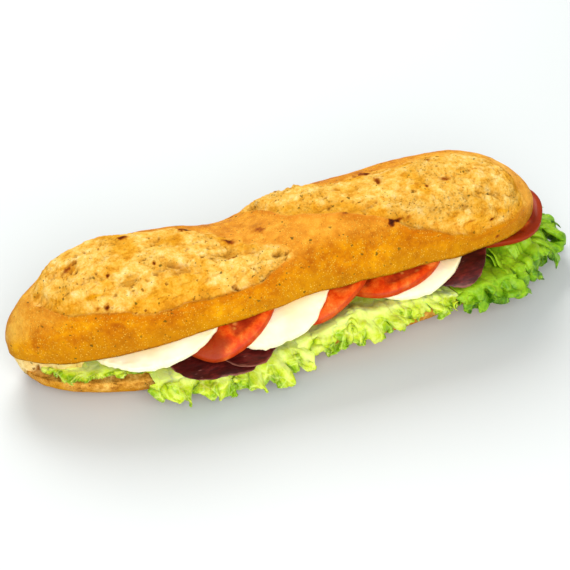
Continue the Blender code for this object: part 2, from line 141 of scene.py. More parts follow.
# Leaves: a sheet from its spine (x, y), over its lip at the bread's edge (x, y, height above
# the cut face), to its ruffled margin (x, y, z). It has waves of ruffle's height, widen
# stretches its left and right side, and restless lets frills reach in past the lip. A frill
# is its waves' length and height, and where it starts. grid counts columns and rows.
LEAVES = {
    "lettuce_left": {
        "kind": "pale", "grid": (260, 60),
        "waves": 5, "ruffle": 0.8, "widen": (1.0, 1.0),
        "restless": 0.2, "frills": [(6.5, 0.9, .15), (3.0, 0.4, .40), (1.6, 0.15, .60)],
        "spine": [(-108, 27), (-94, 35), (-80, 38)],
        "lip": [(-117, -12, 1.6), (-108, -22, 1.8), (-98, -25, 1.8), (-77, -31, 1.6)],
        "margin": [(-121, -17, 17.3), (-113, -28.5, 16), (-101, -31, 17.6), (-78, -35, 18.4)]},
    "lettuce_front": {
        "kind": "pale", "grid": (416, 60),
        "waves": 5, "ruffle": 3.1, "widen": (1.12, 1.12),
        "restless": 0.3, "frills": [(11.0, 2.3, .20), (5.2, 1.1, .45), (2.2, 0.40, .70)],
        "spine": [(-70, 39), (-40, 40), (-8, 39)],
        "lip": [(-72, -42, 1.2), (-50, -42.5, 1.2), (-28, -42.5, 1.2), (-8, -42, 1.2)],
        "margin": [(-75, -45, 12), (-60, -52, 9), (-40, -53, 9), (-22, -55, 9), (-6, -50, 11)]},
    "lettuce_middle": {
        "kind": "pale", "grid": (416, 60),
        "waves": 6, "ruffle": 2.6, "widen": (1.10, 1.0),
        "restless": 0.4, "frills": [(13.0, 2.2, .25), (5.6, 1.0, .50), (2.3, 0.40, .72)],
        "spine": [(2, 39), (35, 40), (68, 39)],
        "lip": [(-2, -42, 1.4), (14, -41, 6), (25, -39, 10), (34, -41, 8), (46, -41, 7.5),
                (60, -41, 6.5), (74, -41.5, 5)],
        "margin": [(-3, -47, 11), (18, -48, 14), (42, -48, 17), (58, -47.5, 18), (75, -45.5, 18)]},
    "lettuce_right": {
        "kind": "green", "grid": (240, 60),
        "waves": 3, "ruffle": 2.0, "widen": (1.10, 1.80),
        "restless": 0.5, "frills": [(16.0, 2.6, .00), (7.0, 0.8, .40), (2.8, 0.30, .72)],
        "spine": [(74, 39), (92, 39)],
        "lip": [(79, -42, 5), (90, -41.5, 6), (100, -40, 6)],
        "margin": [(80, -46, 17), (92, -46, 15), (104, -44.5, 14)]},
    "lettuce_end": {
        "kind": "green", "grid": (440, 56),
        "waves": 5, "ruffle": 3.8, "widen": (1.06, 1.02),
        "restless": 0.6, "frills": [(20.0, 3.2, .00), (9.0, 1.1, .35), (3.2, 0.40, .68)],
        "spine": [(98, 10), (100, 14), (103, 18), (106, 24)],
        "lip": [(106, -38, 5), (122, -31, 5.5), (133, -16, 6), (136.5, 4, 6.5), (132, 24, 5)],
        "margin": [(107, -41, 12), (124, -34, 10), (142, -22, 10), (155, 1, 11), (149, 26, 13)]},
}
# A leaf lies LEAF_LEVEL over the cut face, LEAF_CLEAR under the slices and LEAF_LIFT over the
# floor. LIP_AT is the lip's place from the spine (0) to the margin (1).
LEAF_THICK = 0.5
LEAF_LEVEL = 1.2
LIP_AT = 0.5
LEAF_CLEAR = 1.3
TIP_REACH = 2.6
LEAF_LIFT = 0.4


# Curves and noise


def along(x, stations):
    """A smooth curve through (x, value) stations: cubic pieces whose slopes at the
    stations are the mean slopes round them."""
    at, value = np.array(stations, float).T
    slope = np.gradient(value, at)
    piece = np.clip(np.searchsorted(at, x) - 1, 0, len(at) - 2)
    step = at[piece + 1] - at[piece]
    t = np.clip((x - at[piece]) / step, 0, 1)
    return ((1 + 2 * t) * (1 - t) ** 2 * value[piece] + t * (1 - t) ** 2 * step * slope[piece]
            + t * t * (3 - 2 * t) * value[piece + 1] + t * t * (t - 1) * step * slope[piece + 1])


def ramp(value, start, end):
    """0 up to start, 1 from end on, smooth between. start may be the larger of the two."""
    t = np.clip((value - start) / (end - start), 0, 1)
    return t * t * (3 - 2 * t)


def placed(*parts):
    """Points from three coordinates, each an array or a number."""
    return np.stack(np.broadcast_arrays(*parts), -1)


PRIMES = (374761393, 668265263, 2246822519, 3266489917)


def hashed(cell, seed):
    """A random number from -1 to 1 for each whole-numbered cell of space: its coordinates
    times large primes, with the high bits folded on to the low ones."""
    mixed = (cell * np.array(PRIMES[:3])).sum(-1) + seed * PRIMES[3]
    for shift, prime in ((15, PRIMES[2]), (13, PRIMES[3])):
        mixed = (mixed ^ (mixed >> shift)) * prime
    return ((mixed ^ (mixed >> 16)) & 65535) / 32767.5 - 1


def noise(point, seed):
    """Smooth random values from -1 to 1, a lump or hollow about every unit: random
    numbers at the corners of unit cubes, blended inside each cube by smooth steps."""
    cell = np.floor(point).astype(np.int64)
    inside = ramp(point - cell, 0, 1)
    total = np.zeros(point.shape[:-1])
    for corner in itertools.product((0, 1), repeat=3):
        share = np.prod(np.where(corner, inside, 1 - inside), -1)
        total += share * hashed(cell + np.array(corner), seed)
    return total


def rough(point, octaves, seed):
    """Noise with finer noise on it, each layer half as wide and half as strong."""
    return sum(noise(point * 2 ** k + 17.3 * k, seed + k) / 2 ** k for k in range(octaves))


def bent(point, size, amount, seed):
    """Points shifted by noise of that size and amount, so that shapes made on them wander."""
    return point + amount * np.stack([noise(point / size, seed + k) for k in range(3)], -1)


def bubbles(point, seed, small, large):
    """How deep each point lies in the nearest of many round bubbles, from 0 outside to 1
    at its middle. Each unit cube has one bubble, mostly small ones."""
    cell = np.floor(point).astype(np.int64)
    deepest = np.zeros(point.shape[:-1])
    for step in itertools.product((-1, 0, 1), repeat=3):
        corner = cell + np.array(step)
        middle = corner + 0.5 + 0.4 * np.stack([hashed(corner, seed + k) for k in (1, 2, 3)], -1)
        radius = small + (large - small) * ((hashed(corner, seed) + 1) / 2) ** 3
        deepest = np.maximum(deepest, 1 - ((point - middle) ** 2).sum(-1) / radius ** 2)
    return deepest


# Meshes from grids of points


def grid_normals(point, around=False):
    """Unit normals of a grid of points, from the steps to the neighbours on each side.
    around says that the grid's columns close into rings."""
    down = np.gradient(point, axis=0)
    if around:
        across = np.roll(point, -1, 1) - np.roll(point, 1, 1)
    else:
        across = np.gradient(point, axis=1)
    normal = np.cross(down, across)
    return normal / np.maximum(np.linalg.norm(normal, axis=-1, keepdims=True), 1e-9)


def make_piece(name, point, faces, looks, material, node):
    """A shown piece from points in millimetres and arrays of faces, in place of a node.
    looks holds, by name, a number per point that the material reads. Faces are turned to
    point outwards, by the sign of the volume that they enclose."""
    triangles = [f[:, [0, i, i + 1]] for f in faces for i in range(1, f.shape[1] - 1)]
    a, b, c = (point[corner] for corner in np.concatenate(triangles).T)
    if (np.cross(a, b) * c).sum() < 0:
        faces = [f[:, ::-1] for f in faces]
    mesh = bpy.data.meshes.new(name)
    mesh.from_pydata((point * MM).tolist(), [], [row for f in faces for row in f.tolist()])
    mesh.shade_smooth()
    for key, value in looks.items():
        attribute = mesh.attributes.new(key, "FLOAT", "POINT")
        attribute.data.foreach_set("value", value.astype(np.float32))
    mesh.materials.append(material)
    piece = bpy.data.objects.new(name, mesh)
    bpy.context.scene.collection.objects.link(piece)
    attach(piece, "root")
    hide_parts(node)


def over_rings(value):
    """Values on rings of points as one row, with the means of the first and the last ring
    added for the two poles."""
    return np.concatenate([value.reshape(-1, *value.shape[2:]), value[[0]].mean(1), value[[-1]].mean(1)])


def ring_piece(name, point, looks, material, node):
    """A piece whose closed skin lies over rings of points, one row to a ring, with a fan
    of triangles to a pole at each end."""
    rings, places = point.shape[:2]
    index = np.arange(rings * places).reshape(rings, places)
    beside = np.roll(index, -1, 1)
    quads = np.stack([index[:-1], index[1:], beside[1:], beside[:-1]], -1).reshape(-1, 4)
    first, last = np.full(places, index.size), np.full(places, index.size + 1)
    faces = [quads, np.stack([first, index[0], beside[0]], -1),
             np.stack([last, beside[-1], index[-1]], -1)]
    looks = {key: over_rings(value) for key, value in looks.items()}
    make_piece(name, over_rings(point), faces, looks, material, node)


def thin_skin(point, thickness):
    """Points and faces of a closed skin round a grid of points: one side half the
    thickness above it, the other half below, joined round the border."""
    half = grid_normals(point) * thickness[..., None] / 2
    index = np.arange(thickness.size).reshape(thickness.shape)
    upper = np.stack([index[:-1, :-1], index[1:, :-1], index[1:, 1:], index[:-1, 1:]], -1)
    upper = upper.reshape(-1, 4)
    border = np.concatenate([index[0, :-1], index[:-1, -1], index[-1, :0:-1], index[:0:-1, 0]])
    onward = np.roll(border, -1)
    lower = index.size
    strip = np.stack([border, onward, onward + lower, border + lower], -1)
    verts = np.concatenate([(point + half).reshape(-1, 3), (point - half).reshape(-1, 3)])
    return verts, [upper, upper[:, ::-1] + lower, strip]


# The loaf


def nose(x, left, right, powers):
    """How full the loaf is at x: 1 along most of it, rounding off to 0 at both ends."""
    power = np.where(x < 0, powers[0], powers[1])
    reach = np.where(x < 0, -left, right)
    return np.clip(1 - (np.abs(x) / reach) ** power, 0, 1) ** (1 / NOSE_FULLNESS)


def slash_places(x, g):
    """For each slash: millimetres inside its front edge, millimetres inside its back
    edge, and a share that fades to 0 past its two ends."""
    for stations in (LEFT_SLASH, RIGHT_SLASH):
        front, back = (along(x, [(s[0], s[k]) for s in stations]) for k in (1, 2))
        first, last = stations[0][0], stations[-1][0]
        ends = ramp(x, first - 3, first + 9) * ramp(x, last + 3, last - 9)
        yield (g - front) * CRUST_GIRTH, (back - g) * CRUST_GIRTH, ends


def slash_relief(x, g):
    """The broad height of the slashes above the plain crust: the torn crumb swells
    inside, and an ear stands up along the front edge with a valley behind it."""
    height = np.zeros_like(x)
    for inside, behind, ends in slash_places(x, g):
        swell = ramp(inside, 1, 12) * ramp(behind, -2, 8) * SLASH_SWELL
        ear = np.exp(-((inside + 0.8) / EAR_WIDTH) ** 2) * EAR_HEIGHT
        valley = np.exp(-((inside - 3.6) / EAR_WIDTH) ** 2) * EAR_VALLEY
        height += (swell + ear - valley) * ends
    return height


def top_crust(s, g):
    """The top half's crust. s runs -1..1 along the loaf, g 0..1 from the front rim over
    the crown to the back: a superellipse arch on a base line that joins the two rims."""
    x = np.where(s < 0, -s * TOP_LEFT, s * TOP_RIGHT)
    turn = np.pi * g
    out = np.sign(np.cos(turn)) * np.abs(np.cos(turn)) ** (2 / TOP_ROUNDNESS)
    rise = np.abs(np.sin(turn)) ** (2 / TOP_ROUNDNESS)
    full = (nose(x, TOP_LEFT, TOP_RIGHT, TOP_NOSE_FRONT) * (1 + out)
            + nose(x, TOP_LEFT, TOP_RIGHT, TOP_NOSE_BACK) * (1 - out)) / 2
    front, back = along(x, FRONT_RIM), along(x, BACK_RIM)
    half = np.where(out > 0, along(x, TOP_FRONT), along(x, TOP_BACK))
    relief = slash_relief(x, g) * ramp(full, 0.1, 0.6)
    y = -half * out * full * (1 + relief / HALF_WIDTH)
    base = (front + back) / 2 + (front - back) / 2 * out * full ** 0.3
    z = base + (along(x, CROWN) - (front + back) / 2) * rise * full ** 0.85 * (1 + relief / HALF_RISE)
    return np.stack([x, y, z], -1)


def top_cut(s, t):
    """The top half's cut face, from the back (t 0) to the front rim (t 1), a low arch."""
    back, front = top_crust(s, np.full_like(s, BACK_CUT)), top_crust(s, np.zeros_like(s))
    point = back + (front - back) * t[..., None]
    full = nose(point[..., 0], TOP_LEFT, TOP_RIGHT, TOP_NOSE_FRONT)
    point[..., 2] += CUT_ARCH * np.sin(np.pi * t) ** 0.7 * full
    return point


def bottom_crust(s, g):
    """The bottom half's crust, g 0..1 from the front cut edge under the loaf to the back."""
    x = np.where(s < 0, -s * BOTTOM_LEFT, s * BOTTOM_RIGHT)
    full = nose(x, BOTTOM_LEFT, BOTTOM_RIGHT, BOTTOM_NOSE)
    turn = np.pi * g
    out = np.sign(np.cos(turn)) * np.abs(np.cos(turn)) ** (2 / BOTTOM_ROUNDNESS)
    drop = np.abs(np.sin(turn)) ** (2 / BOTTOM_ROUNDNESS)
    half = np.where(out > 0, along(x, BOTTOM_FRONT), along(x, BOTTOM_BACK))
    cut = along(x, CUT_HEIGHT)
    z = np.maximum(cut - (cut + BASE_FLAT) * drop * full ** 0.7, 0)
    return np.stack([x, -half * out * full, z], -1)


def bottom_cut(s, t):
    """The bottom half's cut face, from the back (t 0) to the front (t 1), nearly flat."""
    back, front = bottom_crust(s, np.ones_like(s)), bottom_crust(s, np.zeros_like(s))
    return back + (front - back) * t[..., None]


def loaf_grid(crust, cut, crust_end, rings, crust_places, cut_places):
    """Rings of points round a loaf half, closer together towards its ends, with the
    matching place across the crust (g) and across the cut face (t, -1 on the crust)."""
    even = np.linspace(-1, 1, rings + 2)[1:-1]
    s = (even + 0.35 * np.sin(np.pi * even) / np.pi)[:, None]
    g = np.linspace(0, crust_end, crust_places)[None]
    t = np.linspace(0, 1, cut_places + 2)[None, 1:-1]
    point = np.concatenate([crust(s + 0 * g, g + 0 * s), cut(s + 0 * t, t + 0 * s)], 1)
    place = np.concatenate([g + 0 * s, 1 + 0 * (t + s)], 1)
    across = np.concatenate([-1 + 0 * (g + s), t + 0 * s], 1)
    return point, place, across


def crumb_depth(point, seed):
    """How far the open crumb of a cut face lies below its surface, in millimetres, and how deep the holes
    are, which the material paints as shade: round bubbles of three sizes over a ragged floor."""
    point = bent(point, 3, 1.2, seed + 30)
    holes = 1.7 * bubbles(point / 8, seed, .10, .42) + 1.0 * bubbles(point / 3.8, seed + 9, .15, .48)
    holes += 0.4 * bubbles(point / 1.9, seed + 18, .2, .5)
    return holes + 0.35 * (rough(point / 5, 2, seed + 27) + 1), np.clip(holes / 1.4, 0, 1)


def pressed_on(x, y):
    """The height of the highest slice under (x, y), falling away round each slice."""
    highest = np.full_like(x, -99.0)
    for name, cut in SLICES.items():
        fallen = 30 * ramp(slice_reach(cut, x, y), 0.98, 1.5)
        highest = np.maximum(highest, slice_level(name, x, y) + cut.thick - fallen)
    return highest


def slash_shares(point, g, on_crust):
    """The parts of the slashes, as shares: torn crumb, the lip along its front edge, the
    drop behind the lip, the browned crust before it, and the crumb's rear edge. Noise on
    the distances from the edges makes all of them ragged."""
    ragged = 1.7 * noise(point / 11, 3) + 0.8 * noise(point / 3.6, 4)
    torn, lip, drop, rim, rear = (np.zeros_like(g) for _ in range(5))
    soft_end = 10 * ramp(point[..., 0], -84, -116)
    for inside, behind, ends in slash_places(point[..., 0], g):
        inside = inside + ragged
        behind = behind + 2.4 * ragged
        share = ends * on_crust
        torn = np.maximum(torn, ramp(inside, -0.2, 2.4) * ramp(behind, -3 - soft_end, 3)
                          * ramp(share, .05, .7))
        lip += np.exp(-((inside + 0.5) / 1.1) ** 2) * share
        drop += ramp(inside, 0.0, 1.8) * ramp(inside, 12, 4) * ramp(behind, 0, 5) * share
        rim += np.exp(-((inside + 1.4) / 1.7) ** 2) * share
        rear += np.exp(-((behind - 2.5) / 2.2) ** 2) * share
    return torn, lip, drop, 0.65 * np.clip(rim, 0, 1) * (1 - torn), rear


def torn_crumb(point, g, torn, drop, rear):
    """The height of the torn crumb in millimetres, how much painted shade lies in its holes, creases and
    dents, and how golden and porous it is. Stretched hummocks of noise are cut by creases, where other noise
    is near 0, and by bubbles of three sizes. The large hollows have their own places, and strands cross
    them, again where noise is near 0."""
    wander = bent(point, 6, 2.2, 7)
    hummocks = rough(wander / (16, 8, 8), 3, 11) + 0.2 * rough(point / 2.6, 2, 15)
    creases = np.abs(rough(wander / (13, 5, 5), 2, 21))
    tears = 0.7 * ramp(creases, 0.16, 0) + 0.2 * ramp(np.abs(noise(wander / 3.1, 25)), 0.3, 0)
    holes = (1.4 * bubbles(bent(point, 2.2, 2.2, 29) / (13, 8, 8), 31, .04, .24)
             + 1.0 * bubbles(bent(point, 1.4, 1.1, 33) / 5.0, 41, .05, .36)
             + 0.4 * bubbles(bent(point, 1.0, 0.5, 36) / 2.4, 51, .2, .5))
    porous = 0.8 * ramp(noise(wander / 10, 97) + 0.5 * noise(point / 4, 98), 0.15, 0.75)
    gold = noise(wander / 13, 95) + 0.5 * noise(point / 4.5, 96) + 0.6 * rear + 0.7 * drop
    gold = 0.85 * ramp(gold, 0.0, 0.8)
    dent = np.zeros_like(g)
    breakup = 0.45 * rough(point / 4.5, 3, 85)
    shifted = bent(point, 7, 3.0, 88)
    aside = shifted[..., 1] - point[..., 1]
    for at, place, length, width, depth, golden in HOLLOWS:
        away = np.hypot((shifted[..., 0] - at) / length, ((g - place) * CRUST_GIRTH + aside) / width)
        share = ramp(away + breakup, 1.3, 0.2)
        dent = np.maximum(dent, depth * share)
        porous = np.maximum(porous * (1 - share * golden), share * (1 - golden))
        gold = np.maximum(gold * (1 - share * (1 - golden)), share * golden)
    strands = np.abs(noise(bent(point, 3, 1.6, 92) / (4.2, 2.6, 2.6), 93))
    strands = ramp(strands, 0.22, 0.02) * np.maximum(porous, np.clip(dent, 0, 1))
    porous = porous * ramp(torn, 0.7, 1.0) * (1 - 0.8 * strands)
    height = hummocks - tears - holes - 1.35 * dent + 0.8 * strands + 0.5 * rear
    # Painted shade: holes, creases and dents are coloured darker, the dents less where the crumb is golden,
    # and strands lighten it again.
    deep = 0.9 * np.clip(holes / 1.2, 0, 1) + 0.45 * np.clip(tears - 0.15, 0, 1)
    deep = deep + 0.5 * dent * (1 - 0.7 * gold) - 0.7 * strands
    return height * torn - 0.6 * porous, np.clip(deep, 0, 1) * torn, gold, porous


def scorch_blisters(point, g):
    """How dark the scorched blisters are, ragged spots, and how high they stand."""
    scorch, height = np.zeros_like(g), np.zeros_like(g)
    breakup = 0.45 * rough(point / 1.9, 2, 81)
    for at, place, length, width, dark in SCORCHES:
        away = np.hypot((point[..., 0] - at) / length, (g - place) * CRUST_GIRTH / width)
        scorch = np.maximum(scorch, dark * ramp(away + breakup, 1.15, -0.1))
        height += 0.35 * dark * ramp(away, 1.1, 0)
    return scorch, height


def top_loaf():
    """The top half: the smooth form, then relief along its normals. The crust is gently
    lumpy; inside the slashes the crumb is torn behind a sharp lip. The cut face below is
    open crumb, soft enough to sag on to the slices that it presses on."""
    point, g, t = loaf_grid(top_crust, top_cut, BACK_CUT, *TOP_GRID)
    x = point[..., 0]
    on_crust = t < 0
    height_over = point[..., 2] - pressed_on(x, point[..., 1]) - 0.6
    middle = ramp(t, 0.03, 0.22) * ramp(t, 0.97, 0.86) * ~on_crust
    near_end = ramp(np.minimum(x - TOP_LEFT, TOP_RIGHT - x), 0.0, 6.0)
    point[..., 2] -= np.clip(height_over, 0, 13) * middle * near_end
    normal = grid_normals(point, around=True)
    if normal[:, TOP_GRID[1] // 2, 2].mean() < 0:
        normal = -normal
    torn, lip, drop, rim, rear = slash_shares(point, g, on_crust)
    crumb_height, hollow_shade, gold, porous = torn_crumb(point, g, torn, drop, rear)
    scorch, blisters = scorch_blisters(point, g)
    lumps = 0.50 * rough(point / 20, 2, 61) + 0.26 * rough(point / 7, 3, 65)
    height = lumps * (1 - 0.6 * torn) + crumb_height + 0.35 * lip - 0.5 * drop + blisters
    depth, pits = crumb_depth(point, 71)
    open_crumb = ramp(t, 0.0, 0.04) * ramp(t, 1.0, 0.97) * ~on_crust
    point = point + normal * (np.where(on_crust, height, -depth * open_crumb) * near_end)[..., None]
    rim_wave = 0.45 * rough(placed(x / 13, 0, 0), 3, 87) * near_end
    point[..., 2] += rim_wave * np.where(on_crust, ramp(g, 0.06, 0), ramp(t, 0.8, 1.0))
    # Outside the slashes the crust is golden-brown towards its front rim, partly its own colour and partly
    # painted shade on the front wall. It is pale on the crown, partly its own colour and partly painted
    # light, and pale at the right end as painted light.
    gold = np.where(torn > 0.5, gold, ramp(g + 0.05 * noise(point / 9, 99), 0.17, 0.0))
    crown = ramp(g + 0.05 * noise(point / 12, 89), 0.16, 0.36)
    crown = 0.46 * crown * ramp(g + 0.05 * noise(point / 12, 90), 0.72, 0.5)
    right_end_light = ramp(x + 5 * noise(point / 10, 94), 106, 124) * ramp(g, 0.04, 0.2)
    looks = {"torn": torn, "hollow_shade": np.where(on_crust, hollow_shade, pits * open_crumb), "rim": rim,
             "crumb": open_crumb, "scorch": scorch * on_crust, "toast": 0 * x, "gold": gold,
             "pale": on_crust * np.maximum(crown, right_end_light), "porous": porous}
    ring_piece("top_loaf", point, looks, BREAD, "bread_top")


def bottom_loaf():
    """The bottom half: a lumpy crust under a cut face of open crumb, toasted at its edge."""
    point, g, t = loaf_grid(bottom_crust, bottom_cut, 1, *BOTTOM_GRID)
    normal = grid_normals(point, around=True)
    if normal[:, BOTTOM_GRID[1] // 2, 2].mean() > 0:
        normal = -normal
    x = point[..., 0]
    on_crust = t < 0
    open_crumb = np.where(on_crust, 0, ramp(t, 0.0, 0.04) * ramp(t, 1.0, 0.96))
    depth, pits = crumb_depth(point + 50, 91)
    lumps = 0.40 * rough(point / 20, 2, 101) + 0.2 * rough(point / 6, 2, 105)
    height = np.where(on_crust, lumps, -1.25 * depth * open_crumb)
    near_end = ramp(np.minimum(x - BOTTOM_LEFT, BOTTOM_RIGHT - x), 0.0, 6.0)
    moved = point + normal * (height * near_end)[..., None]
    moved[..., 2] = np.where(on_crust & (point[..., 2] < 0.05), 0.0, np.maximum(moved[..., 2], 0.0))
    patchy = 0.25 * noise(point / 7, 111)
    toast = np.where(on_crust, ramp(g + 0.4 * patchy, 0.16, 0.02), ramp(t + patchy, 0.55, 0.95))
    looks = {"torn": 0 * x, "hollow_shade": pits * open_crumb, "rim": 0 * x, "crumb": open_crumb,
             "scorch": 0 * x, "toast": toast, "gold": 0.9 + 0 * x, "pale": 0 * x, "porous": 0 * x}
    ring_piece("bottom_loaf", moved, looks, BREAD, "bread_bottom")


# Slices


def droop(y):
    """How far a slice hangs down by y, past the front edge of the bread."""
    past = (DROOP_START - y) / DROOP_ROUND
    return -DROOP_SLOPE * DROOP_ROUND * np.logaddexp(0, past)


def slice_reach(cut, x, y):
    """How far out (x, y) is from a slice's centre: 1 on its superellipse outline."""
    return (np.abs((x - cut.x) / cut.length) ** cut.power
            + np.abs((y - cut.y) / cut.depth) ** cut.power) ** (1 / cut.power)


def slice_level(name, x, y):
    """Height of a slice's underside at (x, y)."""
    cut = SLICES[name]
    if name in FLAT_SLICES:
        return along(x, CUT_HEIGHT) + cut.height + droop(y) * FLAT_DROOP
    climb = along(x, CLIMB) - along(np.array(cut.low), CLIMB)
    return along(x, CUT_HEIGHT) + cut.height + climb + droop(y)


def slice_grid(name, sides, flat_rings, edge_rings, ragged):
    """Rings of points from the middle of a slice's top, over its rounded edge, to the
    middle of its underside: a superellipse profile, a lobed and ragged outline, laid on
    the surface that it rests on. Also the radius, angle and height of each point."""
    cut = SLICES[name]
    flat = np.linspace(0.02, 0.9, flat_rings)
    bend = np.linspace(np.arcsin(0.9 ** (1 / SLICE_EDGE)), np.pi / 2, edge_rings + 1)[1:]
    top = np.concatenate([flat, np.sin(bend) ** SLICE_EDGE])
    rise = np.clip(1 - top ** (2 / SLICE_EDGE), 0, 1) ** (SLICE_EDGE / 2)
    radius = np.concatenate([top, top[-2::-1]])[:, None]
    height = np.concatenate([rise, -rise[-2::-1]])[:, None]
    angle = np.linspace(0, 2 * np.pi, sides, endpoint=False)[None] + 0 * radius
    circle = placed(np.cos(angle), np.sin(angle), 0)
    tears = rough(circle * 3 + cut.x, 4, 7) + 0.5 * rough(circle * 13 + cut.x, 2, 9)
    wobble = cut.lobes * (np.sin(5 * angle + cut.x) + np.sin(3 * angle + 2 * cut.x))
    out = radius * (1 + wobble + ragged * tears * radius ** 6)
    out = out * (np.abs(circle[..., :2]) ** cut.power).sum(-1) ** (-1 / cut.power)
    x = cut.x + cut.length * out * np.cos(angle)
    y = cut.y + cut.depth * out * np.sin(angle)
    z = slice_level(name, x, y) + cut.thick * (height + 1) / 2
    return placed(x, y, z), radius + 0 * angle, angle, height + 0 * angle


def tomato_slice(name, seed):
    """A tomato slice: a firm wall inside the skin, and seed chambers between spokes of flesh, sunk a little,
    with seeds standing in their jelly. The slice at the right end is the tomato's cap, with a wide belt of
    dark red skin that is partly its skin and partly painted shade, and the left slice is painted the skin's
    dark red at its left side."""
    point, radius, angle, height = slice_grid(name, 300, 46, 9, 0.004)
    spokes = 5
    turn = angle * spokes / (2 * np.pi) + seed * 0.37 + 0.12 * noise(point / 12, seed)
    beside = np.abs(turn - np.rint(turn)) * 2
    chamber = ramp(beside, 0.16, 0.34) * ramp(radius, 0.26, 0.34) * ramp(radius, 0.91, 0.84)
    chamber *= ramp(noise(point / 9, seed + 3), -0.9, -0.3)
    seeds = bubbles(point / (3.4, 3.4, 12), seed + 5, .12, .42) ** 0.5 * chamber
    fibres = rough(placed(9 * np.cos(angle), 9 * np.sin(angle), 3 * radius), 3, seed + 9)
    on_face = ramp(np.abs(height), 0.5, 0.9)
    relief = -0.5 * chamber + 0.45 * seeds + 0.04 * fibres * ramp(radius, 0.1, 0.5)
    point[..., 2] += (relief + 0.35 * noise(point / 14, seed + 12)) * on_face * np.sign(height)
    skin = 0.55 * ramp(radius + 0.006 * fibres, 0.966, 0.988) * ramp(np.abs(height), 0.9, 0.6)
    # The cap's wide belt of dark red skin is partly the skin's colour and partly painted shade.
    if name == "tomato_end":
        skin = ramp(radius + 0.02 * noise(point / 6, seed + 14), 0.76, 0.86)
    # The left slice is painted the skin's dark red at its left side.
    if name == "tomato_left":
        dark_side = ramp(point[..., 0] - 3 * noise(point / 5, seed + 15), -38.5, -45)
        skin = np.maximum(skin, 0.90 * dark_side)
    looks = {"chamber": chamber * on_face, "seed": seeds * on_face,
             "fibre": fibres * 0.5 + 0.5, "skin": skin}
    ring_piece(name + "_slice", point, looks, TOMATO, name)


def mozzarella_slice(name, seed):
    """A slice of fresh mozzarella: soft, a little wavy, its knife-cut edge slightly torn."""
    point, radius, _, height = slice_grid(name, 300, 40, 10, 0.014)
    on_face = ramp(np.abs(height), 0.2, 0.9)
    relief = 0.5 * noise(point / 17, seed) + 0.16 * rough(point / 5, 3, seed + 3)
    point[..., 2] += relief * on_face * np.sign(height)
    torn = ramp(radius, 0.88, 1.0) * ramp(noise(point / 8, seed + 8), -0.3, 0.4)
    torn = 0.45 * torn * rough(point / 1.8, 2, seed + 9)
    point += grid_normals(point, around=True) * torn[..., None]
    ring_piece(name + "_slice", point, {"radius": radius}, MOZZARELLA, name)


def beef_slice(name, seed):
    """A thin slice of air-dried beef: creased, with a drier, wavier edge and a rim of fat."""
    point, radius, _, _ = slice_grid(name, 360, 46, 6, 0.02)
    flat = point * (1, 1, 0)
    crease = 0.45 * rough(flat / (16, 5, 1), 3, seed) + 0.6 * noise(flat / 9, seed + 4) * radius ** 6
    point[..., 2] += crease
    fat = ramp(radius + 0.02 * rough(point / 5, 2, seed + 6), 0.985, 1.0)
    ring_piece(name + "_slice", point, {"fat": fat}, CURED_BEEF, name)


# Leaves


def headroom(x, y):
    """The height of the lowest thing over (x, y): a slice where one lies, or the bread."""
    lowest = along(x, FRONT_RIM) - 1.5
    for name, cut in SLICES.items():
        clear = 30 * ramp(slice_reach(cut, x, y), 1.25, 2.2)
        lowest = np.minimum(lowest, slice_level(name, x, y) + clear)
    return lowest


def stations_curve(stations, u):
    """The curve through a leaf's stations, spaced evenly over u from 0 to 1."""
    even = np.linspace(0, 1, len(stations))
    return [along(u, list(zip(even, column))) for column in zip(*stations)]


